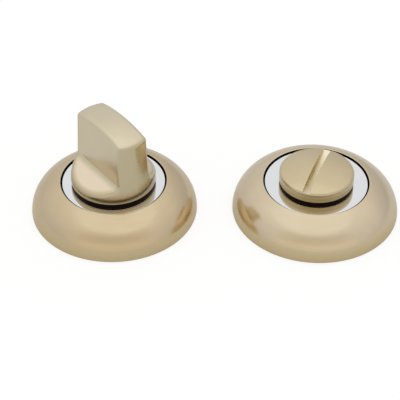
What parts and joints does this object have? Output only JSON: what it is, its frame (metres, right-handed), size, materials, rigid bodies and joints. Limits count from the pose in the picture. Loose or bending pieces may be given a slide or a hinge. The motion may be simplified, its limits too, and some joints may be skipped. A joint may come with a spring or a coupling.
{
  "type": "bathroom thumb turn lock",
  "caption": "Bathroom door thumb turn and slotted emergency release on matching domed round roses in satin antique brass, each turning a quarter turn on a square spindle.",
  "frame": {"origin": "on the door face, midway between the axes of the two halves", "axes": "+X from the thumb turn to the emergency release, +Z out of the door face along both turning axes"},
  "size_m": [0.1152, 0.052, 0.0344],
  "materials": {
    "satin_brass": "satin antique brass, polished round the axis",
    "polished_chrome": "mirror polished chrome plate",
    "zinc_casting": "plain zinc casting",
    "black_nylon": "black moulded nylon",
    "spring_steel": "plain spring steel"
  },
  "bodies": {
    "roses": {"turn_rose_cover": "satin_brass", "turn_centre_disc": "polished_chrome", "turn_base_plate": "zinc_casting", "turn_bearing_bush": "black_nylon", "turn_disc_spring": "spring_steel", "release_rose_cover": "satin_brass", "release_centre_disc": "polished_chrome", "release_base_plate": "zinc_casting", "release_bearing_bush": "black_nylon", "release_disc_spring": "spring_steel"},
    "turn": {"turn_knob": "satin_brass", "turn_stop_washer": "spring_steel", "turn_circlip": "spring_steel"},
    "release": {"release_head": "satin_brass", "release_stop_washer": "spring_steel", "release_circlip": "spring_steel"}
  },
  "joints": [
    {"name": "thumb_turn", "type": "hinge", "parent": "roses", "child": "turn", "pos_m": [-0.0316, 0, 0.012], "axis": [0, 0, -1], "range_deg": [0, 90]},
    {"name": "emergency_release", "type": "hinge", "parent": "roses", "child": "release", "pos_m": [0.0316, 0, 0.012], "axis": [0, 0, -1], "range_deg": [0, 90]}
  ]
}
